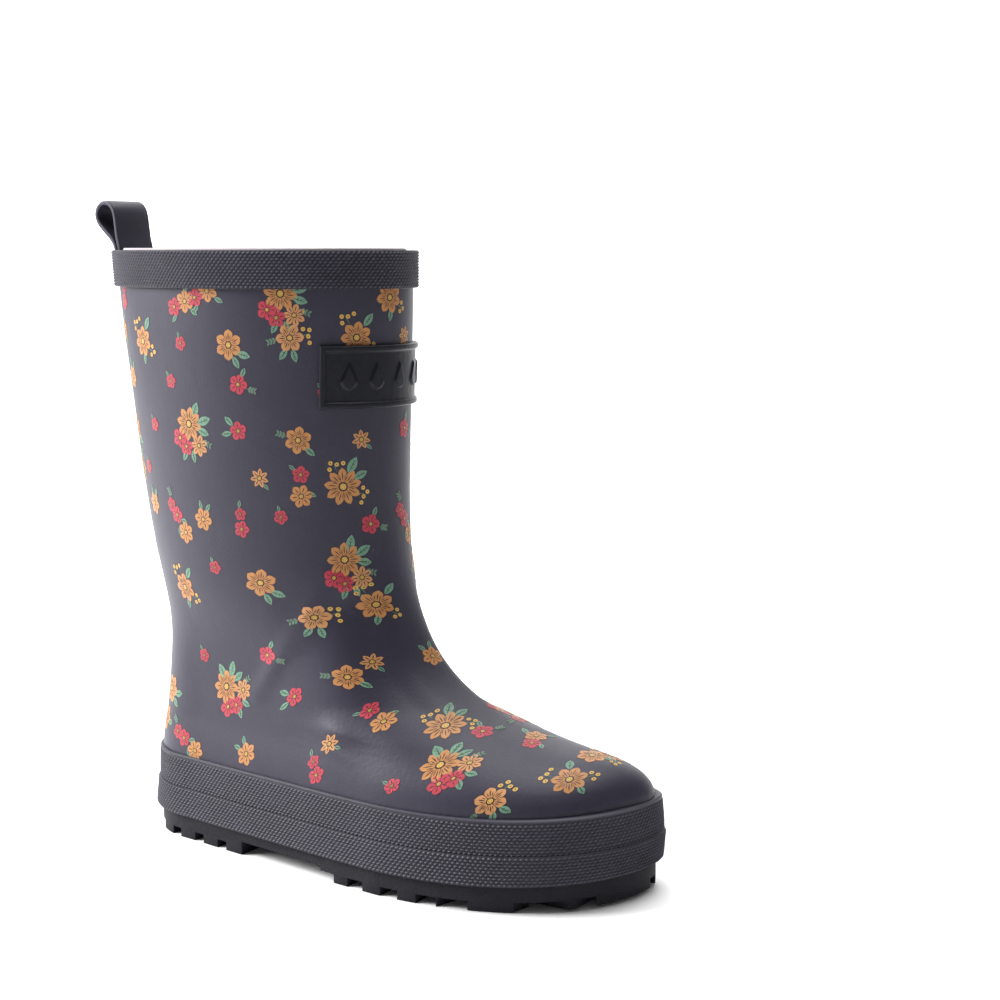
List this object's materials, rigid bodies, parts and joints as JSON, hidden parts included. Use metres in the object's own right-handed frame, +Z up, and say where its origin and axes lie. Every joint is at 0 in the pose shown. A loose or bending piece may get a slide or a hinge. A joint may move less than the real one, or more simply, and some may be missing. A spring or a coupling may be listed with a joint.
{
  "type": "rain boot",
  "caption": "Child's mid-calf rubber rain boot with a printed upper, knurled foxing and top binding, a lugged sole, a badge and a folded pull loop at the back.",
  "frame": {"origin": "ground point under the centre of the heel, on the plane the tread stands on", "axes": "+X towards the toe, +Y towards the inner side of the foot, +Z up the shaft"},
  "size_m": [0.2184, 0.0758, 0.2176],
  "materials": {
    "upper_rubber": "matte, printed with small flowers",
    "trim_rubber": "matte, fine raised diamond knurl",
    "sole_rubber": "matte, finely grained",
    "loop_rubber": "smooth matte",
    "badge_rubber": "smooth satin",
    "stiffener_rubber": "matte",
    "filler_rubber": "matte",
    "lining_fabric": "knitted cotton jersey",
    "felt": "felted",
    "insole_board": "fibre board",
    "insole_foam": "foam",
    "insole_fabric": "woven"
  },
  "bodies": {
    "boot": {"rubber_upper": "upper_rubber", "heel_counter": "stiffener_rubber", "toe_puff": "stiffener_rubber", "ankle_patch_lateral": "stiffener_rubber", "ankle_patch_medial": "stiffener_rubber", "lining_sock": "lining_fabric", "midsole_filler": "filler_rubber", "bottom_felt": "felt", "insole_board": "insole_board", "rand_strip": "trim_rubber", "foxing_strip": "trim_rubber", "outsole": "sole_rubber", "loop_anchor_legs": "loop_rubber", "top_binding": "trim_rubber", "badge": "badge_rubber"},
    "loop": {"pull_loop": "loop_rubber"},
    "insole": {"insole_foam": "insole_foam", "insole_cover": "insole_fabric"}
  },
  "joints": [
    {"name": "pull_loop_flex", "type": "hinge", "parent": "boot", "child": "loop", "pos_m": [-0.0466, 0, 0.20205], "axis": [0, 1, 0], "range_deg": [-40, 60], "stiffness_Nm_per_rad": 0.02},
    {"name": "insole_lift", "type": "hinge", "parent": "boot", "child": "insole", "pos_m": [0.15, 0, 0.01835], "axis": [0, 1, 0], "range_deg": [0, 6]}
  ]
}
